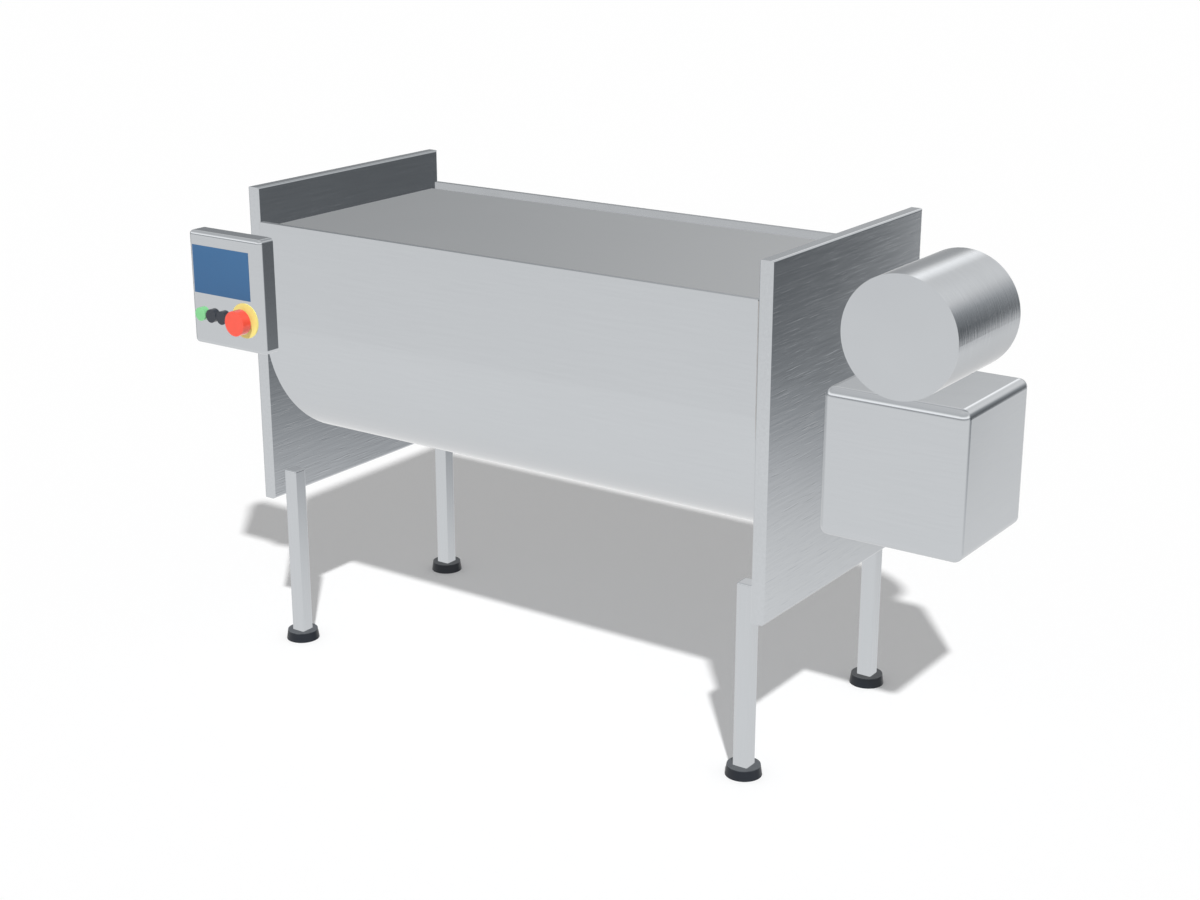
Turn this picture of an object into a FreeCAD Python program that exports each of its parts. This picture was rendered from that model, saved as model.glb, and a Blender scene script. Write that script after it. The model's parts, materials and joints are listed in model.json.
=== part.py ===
import FreeCAD, Part
import math
import os
import Sketcher

# A paddle vacuum tumbler: a fixed U-shaped tub between two tall end plates, a flat lid
# inside its rim, a paddle shaft through it and a drive outside the right end.
# Lengths are millimetres. X runs along the tub, Y to the back, Z up.

SIZES = {
    # the tub
    "tub_length": 1500, "tub_radius": 365, "axis_height": 908, "rim_height": 1178,
    "tub_sheet": 4, "rib_depth": 9, "jacket_sheet": 2,
    "rib_width": 8, "rib_count": 5, "rim_bar_height": 12,
    # the two end walls
    "plate_core": 10, "pan_depth": 25, "pan_sheet": 3, "plate_round": 5.5,
    "plate_top": 1268, "plate_bottom": 415,
    # legs and levelling feet
    "leg_side": 40, "leg_wall": 3, "leg_top": 494.5, "leg_round": 4,
    "leg_gap": 15, "leg_setback": 28, "spacer_width": 16, "spacer_offset": 10,
    "spacer_height": 70, "spacer_drop": 8,
    "nut_height": 30, "foot_radius": 45, "foot_top_radius": 41, "foot_height": 26,
    "spindle_radius": 10, "spindle_length": 110, "spindle_chamfer": 2, "part_gap": 0.3,
    # lid, its ledge and gasket
    "lid_drop": 16, "lid_depth": 24, "lid_sheet": 3, "lid_gap": 1, "liner_sheet": 2,
    "lid_rib_sheet": 4, "lid_rib_count": 5, "hinge_round": 16, "hinge_gap": 0.5,
    "hinge_pin_radius": 6, "hinge_pin_length": 40, "ledge_width": 30,
    "rear_ledge_width": 60, "ledge_thick": 8, "gasket_width": 12, "gasket_height": 12,
    "gasket_inset": 9, "rear_gasket_inset": 44, "seat_gap": 0.3,
    # pull dishes and their folding bails
    "dish_length": 120, "dish_width": 46, "dish_depth": 15, "dish_sheet": 2,
    "dish_offset": 420, "dish_setback": 7, "bail_wire": 3.5, "bail_reach": 28,
    "bail_corner": 9, "bail_bend": 5, "bail_end": 4,
    # paddle shaft
    "shaft_tube_radius": 45, "journal_radius": 25, "journal_clearance": 1,
    "sweep_floor_gap": 12, "sweep_lid_gap": 10, "shaft_end_gap": 2, "running_gap": 0.05,
    "loose_gap": 0.2,
    "seal_radius": 60, "seal_length": 14,
    "paddle_count": 6, "paddle_pitch": 45, "paddle_step": 60, "paddle_end_margin": 125,
    "arm_radius": 15, "arm_short": 40, "blade_width": 165, "blade_height": 118, "blade_thick": 10,
    "blade_curve": 170, "blade_corner": 34,
    # left bearing
    "bearing_radius": 72, "bearing_flange": 12, "bearing_boss": 44, "bearing_depth": 46,
    "bearing_end_wall": 10, "stub_length": 34,
    # drive box
    "box_length": 364.5, "box_front": -121, "box_back": 226, "box_height": 364,
    "box_over_shaft": 90.15, "box_round": 22, "box_sheet": 2.5, "box_flange": 10,
    "shelf_thick": 10, "shelf_margin": 8, "gusset_thick": 8, "gusset_drop": 290,
    "gusset_gap": 3,
    # motor on top of it
    "motor_offset": 190, "jacket_radius": 145.8, "jacket_front": -127, "jacket_back": 208,
    "jacket_wall": 2.5, "end_disc": 3, "motor_radius": 112, "motor_front": -85,
    "motor_back": 150, "motor_foot_width": 90, "motor_bore_depth": 90,
    "saddle_width": 70, "saddle_space": 30, "saddle_front": -100,
    # belt and gear reducer
    "motor_pulley": 30, "input_pulley": 45, "pulley_width": 22, "pulley_end": 200,
    "pulley_lip": 3, "belt_width": 16, "belt_thick": 5, "belt_gap": 0.3, "slot_side": 46,
    "slot_end_gap": 3,
    "input_drop": 148.85, "input_shaft": 14, "input_bore_depth": 40,
    "gear_flange_thick": 15, "gear_hub": 48, "gear_hub_length": 175, "gear_case_wall": 8,
    "gear_case_width": 140, "gear_case_front": -60, "gear_case_back": 150, "gear_case_foot": 58,
    "gear_case_round": 18, "journal_end_gap": 8, "hub_cap": 12,
    # control box
    "panel_overhang": 172, "panel_width": 259, "panel_height": 306, "panel_drop": 34,
    "panel_depth": 50, "panel_sheet": 2, "panel_round": 11, "bracket_thick": 7,
    "bracket_inset": 52, "bracket_width": 148, "bracket_rise": 67, "bracket_height": 170,
    "screen_inset": 13, "screen_width": 203.5, "screen_rise": 140, "screen_height": 129,
    "screen_proud": 1.5, "screen_body": 30, "screen_lip": 8,
    "button_rise": 88, "green_inset": 50, "black_one_inset": 89, "black_two_inset": 127.5,
    "button_radius": 18, "button_proud": 23, "button_flange": 6, "stem_radius": 11,
    "stem_length": 12, "button_travel": 4,
    "stop_inset": 194, "stop_rise": 86, "collar_radius": 47, "collar_thick": 3,
    "stop_radius": 33.5, "stop_head_length": 27, "stop_neck": 17, "stop_proud": 42,
    "stop_travel": 6, "contact_size": 32, "contact_depth": 18,
    "gland_radius": 9, "gland_length": 16, "gland_flange": 13, "gland_taper": 2,
    "panel_gland_side": 44, "panel_gland_rise": 33, "box_gland_inset": 66,
    # discharge port low in the left end
    "port_radius": 85, "spout_wall": 6, "door_bearing_gap": 1.85, "spout_length": 30,
    "spout_flange": 108, "spout_flange_thick": 8, "door_thick": 12, "door_gasket": 4,
    "door_hinge_gap": 20, "door_pin": 6, "ear_height": 26, "ear_radius": 13,
    "door_handle_wire": 7, "handle_width": 76, "handle_round": 16, "handle_reach": 38,
    "handle_offset": 64, "door_gasket_inset": 2, "hinge_foot_thick": 8,
    # vacuum port
    "vacuum_bore": 19, "vacuum_wall": 1.5, "vacuum_y": 200, "vacuum_drop": 118,
    "vacuum_reach": 21, "ferrule_radius": 25.25, "ferrule_thick": 6,
}

VECTOR = FreeCAD.Vector
START, END, CENTRE = range(1, 4)

doc = FreeCAD.newDocument("tumbler")
sheet = doc.addObject("Spreadsheet::Sheet", "Sizes")
for row, (alias, number) in enumerate(SIZES.items(), start=1):
    sheet.set(f"A{row}", str(number))
    sheet.setAlias(f"A{row}", alias)
doc.recompute()


class Dim:
    """A length or an angle: the sheet expression that drives it, and its value now."""

    def __init__(self, text, now):
        self.text = text
        self.now = float(now)

    def __add__(self, other):
        other = dim(other)
        return Dim(f"({self.text} + {other.text})", self.now + other.now)

    def __sub__(self, other):
        other = dim(other)
        return Dim(f"({self.text} - {other.text})", self.now - other.now)

    def __mul__(self, other):
        other = dim(other)
        return Dim(f"({self.text} * {other.text})", self.now * other.now)

    def __truediv__(self, other):
        other = dim(other)
        return Dim(f"({self.text} / {other.text})", self.now / other.now)

    def __neg__(self):
        return Dim(f"(0 - {self.text})", -self.now)

    def __radd__(self, other):
        return dim(other) + self

    def __rsub__(self, other):
        return dim(other) - self

    def __rmul__(self, other):
        return dim(other) * self


def dim(value):
    if isinstance(value, Dim):
        return value
    return Dim(f"({value})", value)


def root(value):
    return Dim(f"sqrt({value.text})", math.sqrt(value.now))


def bind(thing, path, value):
    thing.setExpression(path, dim(value).text)


class Sizes:
    """The sheet's named sizes, read as dims."""

    def __getattr__(self, alias):
        return Dim(f"Sizes.{alias}", sheet.get(alias))


s = Sizes()


def box_loop(low_x, high_x, low_y, high_y):
    return [(low_x, low_y), (high_x, low_y), (high_x, high_y), (low_x, high_y)]


def round_box_loop(low_x, high_x, low_y, high_y, radius):
    """A rectangle with round corners, as lines and arcs that turn left."""
    left, right = dim(low_x) + radius, dim(high_x) - radius
    low, high = dim(low_y) + radius, dim(high_y) - radius
    return [(left, low_y), (right, low_y, right, low, 1), (high_x, low),
            (high_x, high, right, high, 1), (right, high_y), (left, high_y, left, high, 1),
            (low_x, high), (low_x, low, left, low, 1)]


def draw_circle(sketch, centre_x, centre_y, radius):
    x, y, r = dim(centre_x), dim(centre_y), dim(radius)
    circle = Part.Circle(VECTOR(x.now, y.now, 0), VECTOR(0, 0, 1), r.now)
    edge = sketch.addGeometry(circle, False)
    for kind, args, value in (("Radius", (edge,), r), ("DistanceX", (edge, CENTRE), x),
                              ("DistanceY", (edge, CENTRE), y)):
        index = sketch.addConstraint(Sketcher.Constraint(kind, *args, value.now))
        bind(sketch, f"Constraints[{index}]", value)


def draw_loop(sketch, corners, closed=True):
    """A closed loop or an open path. The edge that leaves a corner is a line, or an arc
    where the corner also gives the arc's centre and which way it turns: 1 left, -1 right."""
    corners = [tuple(dim(v) for v in c[:4]) + tuple(c[4:]) for c in corners]
    first, count, ends = sketch.GeometryCount, len(corners), []
    edges = count if closed else count - 1

    def fix(kind, edge, end, value):
        index = sketch.addConstraint(Sketcher.Constraint(kind, edge, end, value.now))
        bind(sketch, f"Constraints[{index}]", value)

    for place, corner in enumerate(corners[:edges]):
        after = corners[(place + 1) % count]
        if len(corner) == 2:
            sketch.addGeometry(Part.LineSegment(VECTOR(corner[0].now, corner[1].now, 0),
                                                VECTOR(after[0].now, after[1].now, 0)), False)
            ends.append((START, END))
            continue
        x, y, mid_x, mid_y = (v.now for v in corner[:4])
        angles = [math.atan2(y - mid_y, x - mid_x),
                  math.atan2(after[1].now - mid_y, after[0].now - mid_x)]
        circle = Part.Circle(VECTOR(mid_x, mid_y, 0), VECTOR(0, 0, 1),
                             math.hypot(x - mid_x, y - mid_y))
        left = corner[4] > 0
        sketch.addGeometry(Part.ArcOfCircle(circle, *(angles if left else angles[::-1])), False)
        ends.append((START, END) if left else (END, START))
    for place in range(edges if closed else edges - 1):
        following = (place + 1) % count
        sketch.addConstraint(Sketcher.Constraint(
            "Coincident", first + place, ends[place][1], first + following, ends[following][0]))
    if not closed:
        fix("DistanceX", first + edges - 1, ends[-1][1], corners[-1][0])
        fix("DistanceY", first + edges - 1, ends[-1][1], corners[-1][1])
    for place, corner in enumerate(corners[:edges]):
        edge, end = first + place, ends[place][0]
        before = corners[place - 1]
        if len(before) == 2 or not closed and place == 0:
            fix("DistanceX", edge, end, corner[0])
            fix("DistanceY", edge, end, corner[1])
        else:
            across = abs(corner[0].now - before[2].now) > abs(corner[1].now - before[3].now)
            fix("DistanceY" if across else "DistanceX", edge, end, corner[1 if across else 0])
        if len(corner) > 2:
            fix("DistanceX", edge, CENTRE, corner[2])
            fix("DistanceY", edge, CENTRE, corner[3])


class Piece:
    """One sub-part as a body of sketches and features, then set in its place."""

    def __init__(self, label):
        self.body = doc.addObject("PartDesign::Body", label)
        self.body.Label = label
        self.label = label
        self.steps = 0

    def _feature(self, kind):
        self.steps += 1
        return self.body.newObject(kind, f"{self.label}_{self.steps}")

    def _plane(self, role):
        return next(f for f in self.body.Origin.OriginFeatures if f.Role == role)

    def sketch(self, plane, loops, start=0):
        sketch = self._feature("Sketcher::SketchObject")
        sketch.AttachmentSupport = [(self._plane(plane + "_Plane"), "")]
        sketch.MapMode = "FlatFace"
        bind(sketch, "AttachmentOffset.Base.z", -dim(start) if plane == "XZ" else start)
        for loop in loops:
            if isinstance(loop, tuple):
                draw_circle(sketch, *loop)
            else:
                draw_loop(sketch, loop)
        return sketch

    def _volume(self):
        doc.recompute()
        return self.body.Shape.Volume

    def _run(self, kind, grows, **settings):
        before = self._volume() if self.body.Tip else 0
        feature = self._feature(kind)
        for name, value in settings.items():
            if isinstance(value, Dim):
                bind(feature, name, value)
            else:
                setattr(feature, name, value)
        after = self._volume()
        if (after > before) != grows:
            raise RuntimeError(f"{feature.Name} changes the volume the wrong way")
        return feature

    def add(self, plane, loops, start, length):
        """A prism from start, length long, along the plane's own axis."""
        sketch = self.sketch(plane, loops, start)
        return self._run("PartDesign::Pad", True, Profile=sketch, Length=dim(length),
                         Reversed=plane == "XZ")

    def cut(self, plane, loops, start, length):
        sketch = self.sketch(plane, loops, start)
        return self._run("PartDesign::Pocket", False, Profile=sketch, Length=dim(length),
                         Reversed=plane != "XZ")

    def turn(self, plane, loops, axis):
        """A turned piece about one of the body's own axes."""
        sketch = self.sketch(plane, loops)
        line = (self._plane(axis + "_Axis"), [""])
        return self._run("PartDesign::Revolution", True, Profile=sketch, ReferenceAxis=line)

    def bend(self, plane, path, start, first_end, x):
        """A round bar bent along an open path; its first end is a circle across X."""
        spine = self.sketch(plane, [], start)
        draw_loop(spine, path, closed=False)
        circle = self.sketch("YZ", [first_end], x)
        return self._run("PartDesign::AdditivePipe", True, Profile=circle, Spine=(spine, []))

    def soften(self, kind, size, wanted):
        """A Fillet or a Chamfer on the edges that the test picks."""
        doc.recompute()
        tip = self.body.Tip
        names = [f"Edge{i}" for i, e in enumerate(tip.Shape.Edges, start=1) if wanted(e)]
        feature = self._feature("PartDesign::" + kind)
        feature.Base = (tip, names)
        bind(feature, "Radius" if kind == "Fillet" else "Size", size)
        doc.recompute()
        return feature

    def hollow(self, inside):
        """Takes the space of another piece out of this one."""
        before = self._volume()
        feature = self._feature("PartDesign::Boolean")
        feature.Type = "Cut"
        feature.setObjects([inside.body])
        if self._volume() >= before:
            raise RuntimeError(f"{feature.Name} hollows nothing")

    def repeat(self, feature, axis, count, length):
        before = self._volume()
        pattern = self._feature("PartDesign::LinearPattern")
        pattern.Originals = [feature]
        pattern.Direction = (self._plane(axis + "_Axis"), [""])
        bind(pattern, "Length", length)
        bind(pattern, "Occurrences", count)
        self.body.Tip = pattern
        if self._volume() <= before:
            raise RuntimeError(f"{pattern.Name} adds nothing")
        return pattern

    def set_in(self, x=0, y=0, z=0, axis=None, angle=0):
        set_in(self.body, x, y, z, axis, angle)
        return self.body


def lies_at(edge, axis, value):
    """Whether the whole edge lies at one value of X, Y or Z."""
    box = edge.BoundBox
    ends = (getattr(box, axis + "Min"), getattr(box, axis + "Max"))
    return all(abs(end - dim(value).now) < 0.01 for end in ends)


def sheet_box(label, low, high, rounding, wall, open_back=False):
    """A hollow box of sheet with round edges, closed all round or open at its back."""
    def block(name, low, high, radius):
        piece = Piece(name)
        piece.add("XY", [box_loop(low[0], high[0], low[1], high[1])], low[2], high[2] - low[2])
        piece.soften("Fillet", radius, lambda e: not (open_back and lies_at(e, "Y", high[1])))
        return piece

    inner_low, inner_high = [dim(v) + wall for v in low], [dim(v) - wall for v in high]
    if open_back:
        inner_high[1] = high[1]
    shell = block(label, low, high, rounding)
    shell.hollow(block(label + "_inside", inner_low, inner_high, rounding - wall))
    return shell


# Where the floor point under the middle of the whole machine lies, seen from mid tub
plate_thick = s.plate_core + s.pan_depth
half_length = s.tub_length / 2
plate_face = half_length + plate_thick
box_end = plate_face + s.box_length
motor_x = plate_face + s.motor_offset
panel_left = -plate_face - s.panel_overhang
panel_back = -s.tub_radius - s.bracket_thick
panel_front = panel_back - s.panel_depth
stop_front = panel_front - s.stop_proud
shift_x = -(box_end + panel_left) / 2
shift_y = -(s.tub_radius + stop_front) / 2


def set_in(thing, x=0, y=0, z=0, axis=None, angle=0):
    """Puts a finished sub-part where it belongs, measured from mid tub."""
    turn = FreeCAD.Rotation(VECTOR(*axis), angle) if axis else FreeCAD.Rotation()
    thing.Placement = FreeCAD.Placement(VECTOR(0, 0, 0), turn)
    bind(thing, "Placement.Base.x", shift_x + x)
    bind(thing, "Placement.Base.y", shift_y + y)
    bind(thing, "Placement.Base.z", dim(z))
    thing.touch()
    subparts.append(thing)


subparts = []


def primitive(kind, label, where=(0, 0, 0), axis=None, angle=0, **settings):
    """A Part primitive or boolean with its sizes bound to the sheet."""
    thing = doc.addObject("Part::" + kind, label)
    thing.Label = label
    if axis:
        thing.Placement = FreeCAD.Placement(VECTOR(0, 0, 0),
                                            FreeCAD.Rotation(VECTOR(*axis), angle))
    for name, value in settings.items():
        if isinstance(value, (Dim, int, float)):
            bind(thing, name, value)
        else:
            setattr(thing, name, value)
    for key, value in zip("xyz", where):
        bind(thing, f"Placement.Base.{key}", value)
    return thing


# Heights and reaches that several pieces share
inner_radius = s.tub_radius - s.jacket_sheet - s.rib_depth - s.tub_sheet
rib_outer = s.tub_radius - s.jacket_sheet
rib_inner = rib_outer - s.rib_depth
tub_floor = s.axis_height - inner_radius
lid_top = s.rim_height - s.lid_drop
lid_bottom = lid_top - s.lid_depth
ledge_top = lid_bottom - s.seat_gap - s.gasket_height
ledge_bottom = ledge_top - s.ledge_thick
sweep_low = tub_floor + s.sweep_floor_gap
sweep_high = ledge_bottom - s.sweep_lid_gap
shaft_height = (sweep_low + sweep_high) / 2
sweep_radius = (sweep_high - sweep_low) / 2
port_height = shaft_height - s.bearing_radius - s.door_bearing_gap - s.spout_flange
vacuum_height = s.rim_height - s.vacuum_drop
box_top = shaft_height + s.box_over_shaft
box_bottom = box_top - s.box_height
input_height = shaft_height - s.input_drop
gear_hub_end = plate_face + s.gear_hub_length
panel_right = panel_left + s.panel_width
panel_top = s.rim_height - s.panel_drop
panel_bottom = panel_top - s.panel_height
button_row = panel_bottom + s.button_rise
green_x = panel_left + s.green_inset
black_one_x = panel_left + s.black_one_inset
black_two_x = panel_left + s.black_two_inset
stop_x = panel_left + s.stop_inset
stop_height = panel_bottom + s.stop_rise
door_hinge_y = s.spout_flange + s.door_hinge_gap


# The tub: inner shell, hoops and rim bars, outer skin

def trough_loop(outer, inner, top):
    """The U section between two radii, open at the top."""
    return [(outer, top), (inner, top), (inner, s.axis_height, 0, s.axis_height, -1),
            (-inner, s.axis_height), (-inner, top), (-outer, top),
            (-outer, s.axis_height, 0, s.axis_height, 1), (outer, s.axis_height)]


def tub_skin(label, outer, inner):
    skin = Piece(label)
    skin.add("YZ", [trough_loop(outer, inner, s.rim_height)], -half_length, s.tub_length)
    return skin.set_in()


def tub_stiffeners():
    frame = Piece("tub_stiffeners")
    hoop_top = s.rim_height - s.rim_bar_height
    first = -half_length
    hoop = frame.add("YZ", [trough_loop(rib_outer, rib_inner, hoop_top)], first, s.rib_width)
    for low, high in ((-rib_outer, -rib_inner), (rib_inner, rib_outer)):
        frame.add("YZ", [box_loop(low, high, hoop_top, s.rim_height)], first, s.tub_length)
    frame.repeat(hoop, "X", s.rib_count, s.tub_length - s.rib_width)
    return frame.set_in()


tub_skin("tub_shell", rib_inner, inner_radius)
tub_skin("tub_jacket", s.tub_radius, rib_outer)
tub_stiffeners()


# End walls: a thick plate against the tub and a folded pan behind it

journal_hole = s.journal_radius + s.journal_clearance
spout_outer = s.port_radius + s.spout_wall
vacuum_outer = s.vacuum_bore + s.vacuum_wall
left_holes = [(0, shaft_height, journal_hole), (0, port_height, spout_outer),
              (s.vacuum_y, vacuum_height, vacuum_outer)]
right_holes = [(0, shaft_height, journal_hole)]


def end_wall(side, sign, holes):
    wall = box_loop(-s.tub_radius, s.tub_radius, s.plate_bottom, s.plate_top)
    inner = half_length * sign
    joint = (half_length + s.plate_core) * sign
    outer = plate_face * sign
    plate = Piece(side + "_end_plate")
    plate.add("YZ", [wall], inner if sign > 0 else joint, s.plate_core)
    plate.soften("Fillet", s.plate_round, lambda e: lies_at(e, "X", inner))
    plate.cut("YZ", holes, inner if sign > 0 else joint, s.plate_core)
    plate.set_in()
    pan = Piece(side + "_end_pan")
    pan.add("YZ", [wall], joint if sign > 0 else outer, s.pan_depth)
    pan.soften("Fillet", s.plate_round, lambda e: lies_at(e, "X", outer))
    hollow = box_loop(-s.tub_radius + s.pan_sheet, s.tub_radius - s.pan_sheet,
                      s.plate_bottom + s.pan_sheet, s.plate_top - s.pan_sheet)
    depth = s.pan_depth - s.pan_sheet
    pan.cut("YZ", [hollow], joint if sign > 0 else outer + s.pan_sheet, depth)
    face = outer - s.pan_sheet if sign > 0 else outer
    pan.cut("YZ", holes, face, s.pan_sheet)
    pan.set_in()


end_wall("left", -1, left_holes)
end_wall("right", 1, right_holes)


# Legs with welded caps and nut blocks, the blocks that space them off, levelling feet

leg_x = half_length - s.leg_gap - s.leg_side / 2
leg_y = s.tub_radius - s.leg_setback - s.leg_side / 2
leg_bottom = s.foot_height + s.part_gap
corners = [("front_left", -1, -1), ("front_right", 1, -1),
           ("rear_left", -1, 1), ("rear_right", 1, 1)]


def leg(name, side_x, side_y):
    half = s.leg_side / 2
    tube = Piece("leg_" + name)
    tube.add("XY", [box_loop(-half, half, -half, half)], leg_bottom, s.leg_top - leg_bottom)
    tube.soften("Fillet", s.leg_round, lambda e: not lies_at(e, "Z", leg_bottom))
    inside = half - s.leg_wall
    nut_top = leg_bottom + s.nut_height
    hollow = s.leg_top - s.leg_round - s.leg_wall - nut_top
    tube.cut("XY", [box_loop(-inside, inside, -inside, inside)], nut_top, hollow)
    tube.cut("XY", [(0, 0, s.spindle_radius + s.running_gap)], leg_bottom, s.nut_height)
    tube.set_in(leg_x * side_x, leg_y * side_y)


def foot(name, side_x, side_y):
    """A tapered pad moulded on its screw spindle."""
    r, top = s.spindle_radius, s.foot_height + s.spindle_length
    pad = Piece("foot_" + name)
    pad.turn("XZ", [[(0, 0), (s.foot_radius, 0), (s.foot_top_radius, s.foot_height),
                     (r, s.foot_height), (r, top - s.spindle_chamfer),
                     (r - s.spindle_chamfer, top), (0, top)]], "Z")
    pad.set_in(leg_x * side_x, leg_y * side_y)


for corner_name, side_x, side_y in corners:
    leg(corner_name, side_x, side_y)
    foot(corner_name, side_x, side_y)


def group(label, pieces):
    thing = doc.addObject("Part::Compound", label)
    thing.Label = label
    thing.Links = pieces
    set_in(thing)


def leg_spacers():
    blocks = []
    for name, side_x, side_y in corners:
        low_x = half_length - s.leg_gap if side_x > 0 else -half_length
        middle_y = (leg_y - s.spacer_offset) * side_y
        low_z = s.leg_top - s.spacer_drop - s.spacer_height
        blocks.append(primitive(
            "Box", "spacer_" + name, (low_x, middle_y - s.spacer_width / 2, low_z),
            Length=s.leg_gap, Width=s.spacer_width, Height=s.spacer_height))
    group("leg_spacers", blocks)


leg_spacers()


# Ledge and gasket that the lid lies on

def frame_loops(side, front, back, width, back_width):
    outside = box_loop(-side, side, -front, back)
    inside = box_loop(-side + width, side - width, -front + width, back - back_width)
    return [outside, inside]


def ledge_and_gasket():
    ledge = Piece("lid_ledge")
    ledge.add("XY", frame_loops(half_length, inner_radius, inner_radius,
                                s.ledge_width, s.rear_ledge_width), ledge_bottom, s.ledge_thick)
    ledge.set_in()
    gasket = Piece("lid_gasket")
    loops = frame_loops(half_length - s.gasket_inset, inner_radius - s.gasket_inset,
                        inner_radius - s.rear_gasket_inset, s.gasket_width, s.gasket_width)
    gasket.add("XY", loops, ledge_top, s.gasket_height)
    gasket.set_in()


ledge_and_gasket()


# The lid: a pan with its rear edge rounded about the hinge line, pull dishes pressed in

hinge_y = inner_radius - s.hinge_gap - s.hinge_round
hinge_z = lid_top - s.hinge_round
lid_side = half_length - s.lid_gap
lid_front = inner_radius - s.lid_gap
bar_front = hinge_y - s.hinge_round
dish_low = -lid_front + s.dish_setback
dish_high = dish_low + s.dish_width


def lid_panel():
    lid = Piece("lid_panel")
    drop = s.hinge_round - s.lid_depth
    corner_y = hinge_y + root(s.hinge_round * s.hinge_round - drop * drop)
    section = [(-lid_front, lid_bottom), (corner_y, lid_bottom, hinge_y, hinge_z, 1),
               (hinge_y, lid_top), (-lid_front, lid_top)]
    lid.add("YZ", [section], -lid_side, lid_side * 2)
    well = box_loop(-lid_side + s.lid_sheet, lid_side - s.lid_sheet,
                    -lid_front + s.lid_sheet, bar_front)
    lid.cut("XY", [well], lid_bottom, s.lid_depth - s.lid_sheet)
    floor = lid_top - s.dish_depth
    half = s.dish_length / 2
    for middle in (-s.dish_offset, s.dish_offset):
        outside = box_loop(middle - half - s.dish_sheet, middle + half + s.dish_sheet,
                           dish_low - s.dish_sheet, dish_high + s.dish_sheet)
        lid.add("XY", [outside], floor - s.dish_sheet,
                s.dish_depth + s.dish_sheet - s.lid_sheet)
        lid.cut("XY", [box_loop(middle - half, middle + half, dish_low, dish_high)],
                floor, s.dish_depth)
        pivot = (bail_y, bail_z, s.bail_wire + s.running_gap)
        lid.cut("YZ", [pivot], middle - half - s.dish_sheet, s.dish_length + s.dish_sheet * 2)
    lid.cut("YZ", [(hinge_y, hinge_z, s.hinge_pin_radius + s.running_gap)],
            -lid_side, lid_side * 2)
    lid.set_in()


def lid_liner():
    """The bottom sheet that closes the lid, with the ribs welded to it."""
    liner = Piece("lid_liner")
    side = lid_side - s.lid_sheet
    front = -lid_front + s.lid_sheet
    liner.add("XY", [box_loop(-side, side, front, bar_front)], lid_bottom, s.liner_sheet)
    rib_low = lid_bottom + s.liner_sheet
    rib = liner.add("XZ", [box_loop(-side, -side + s.lid_rib_sheet, rib_low,
                                    lid_top - s.lid_sheet)],
                    dish_high + s.dish_sheet * 2, bar_front - dish_high - s.dish_sheet * 2)
    liner.repeat(rib, "X", s.lid_rib_count, side * 2 - s.lid_rib_sheet)
    liner.set_in()


def hinge_pins():
    pins = []
    for name, low_x in (("left", -half_length), ("right", half_length - s.hinge_pin_length)):
        pins.append(primitive("Cylinder", "hinge_pin_" + name, (low_x, hinge_y, hinge_z),
                              (0, 1, 0), 90, Radius=s.hinge_pin_radius,
                              Height=s.hinge_pin_length))
    group("lid_hinge_pins", pins)


bail_y = dish_high - s.bail_wire * 2
bail_z = lid_top - s.bail_wire * 2


def bail(name, middle):
    """A bent wire that folds flat into its dish; its ends turn in the dish's walls."""
    ring = Piece("lid_bail_" + name)
    half = s.dish_length / 2 + s.dish_sheet
    bend, corner, reach = s.bail_bend, s.bail_corner, s.bail_reach
    far = half - s.bail_end
    side = far - bend
    near = side - corner
    path = [(-half, 0), (-far, 0, -far, -bend, -1), (-side, -bend),
            (-side, corner - reach, -near, corner - reach, 1), (-near, -reach),
            (near, -reach, near, corner - reach, 1), (side, corner - reach),
            (side, -bend, far, -bend, -1), (far, 0), (half, 0)]
    ring.bend("XY", path, 0, (0, 0, s.bail_wire), -half)
    ring.set_in(middle, bail_y, bail_z)


lid_panel()
lid_liner()
hinge_pins()
bail("left", -s.dish_offset)
bail("right", s.dish_offset)


# The paddle shaft with its seals and left bearing

journal_left = -plate_face - s.stub_length
journal_right = gear_hub_end - s.hub_cap - s.journal_end_gap
tube_end = half_length - s.seal_length - s.shaft_end_gap


def agitator_shaft():
    shaft = Piece("agitator_shaft")
    r, big = s.journal_radius, s.shaft_tube_radius
    shaft.turn("XY", [[(journal_left, 0), (journal_right, 0), (journal_right, r),
                       (tube_end, r), (tube_end, big), (-tube_end, big), (-tube_end, r),
                       (journal_left, r)]], "X")
    shaft.set_in(z=shaft_height)


def shaft_seals():
    seals = []
    inner = s.journal_radius + s.running_gap
    for name, low_x in (("left", -half_length), ("right", half_length - s.seal_length)):
        ring = Piece("seal_" + name)
        ring.add("YZ", [(0, 0, s.seal_radius), (0, 0, inner)], 0, s.seal_length)
        bind(ring.body, "Placement.Base.x", low_x)
        bind(ring.body, "Placement.Base.z", shaft_height)
        ring.body.touch()
        seals.append(ring.body)
    group("shaft_seals", seals)


def left_bearing():
    unit = Piece("left_bearing")
    hole = s.journal_radius + s.running_gap
    flange_end, boss_end = -s.bearing_flange, -s.bearing_depth
    bore_end = boss_end + s.bearing_end_wall
    unit.turn("XY", [[(0, hole), (bore_end, hole), (bore_end, 0), (boss_end, 0),
                      (boss_end, s.bearing_boss), (flange_end, s.bearing_boss),
                      (flange_end, s.bearing_radius), (0, s.bearing_radius)]], "X")
    unit.set_in(-plate_face, 0, shaft_height)


agitator_shaft()
shaft_seals()
left_bearing()


# Paddles: dished blades on round arms, pitched to the shaft and trimmed to its sweep

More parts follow.
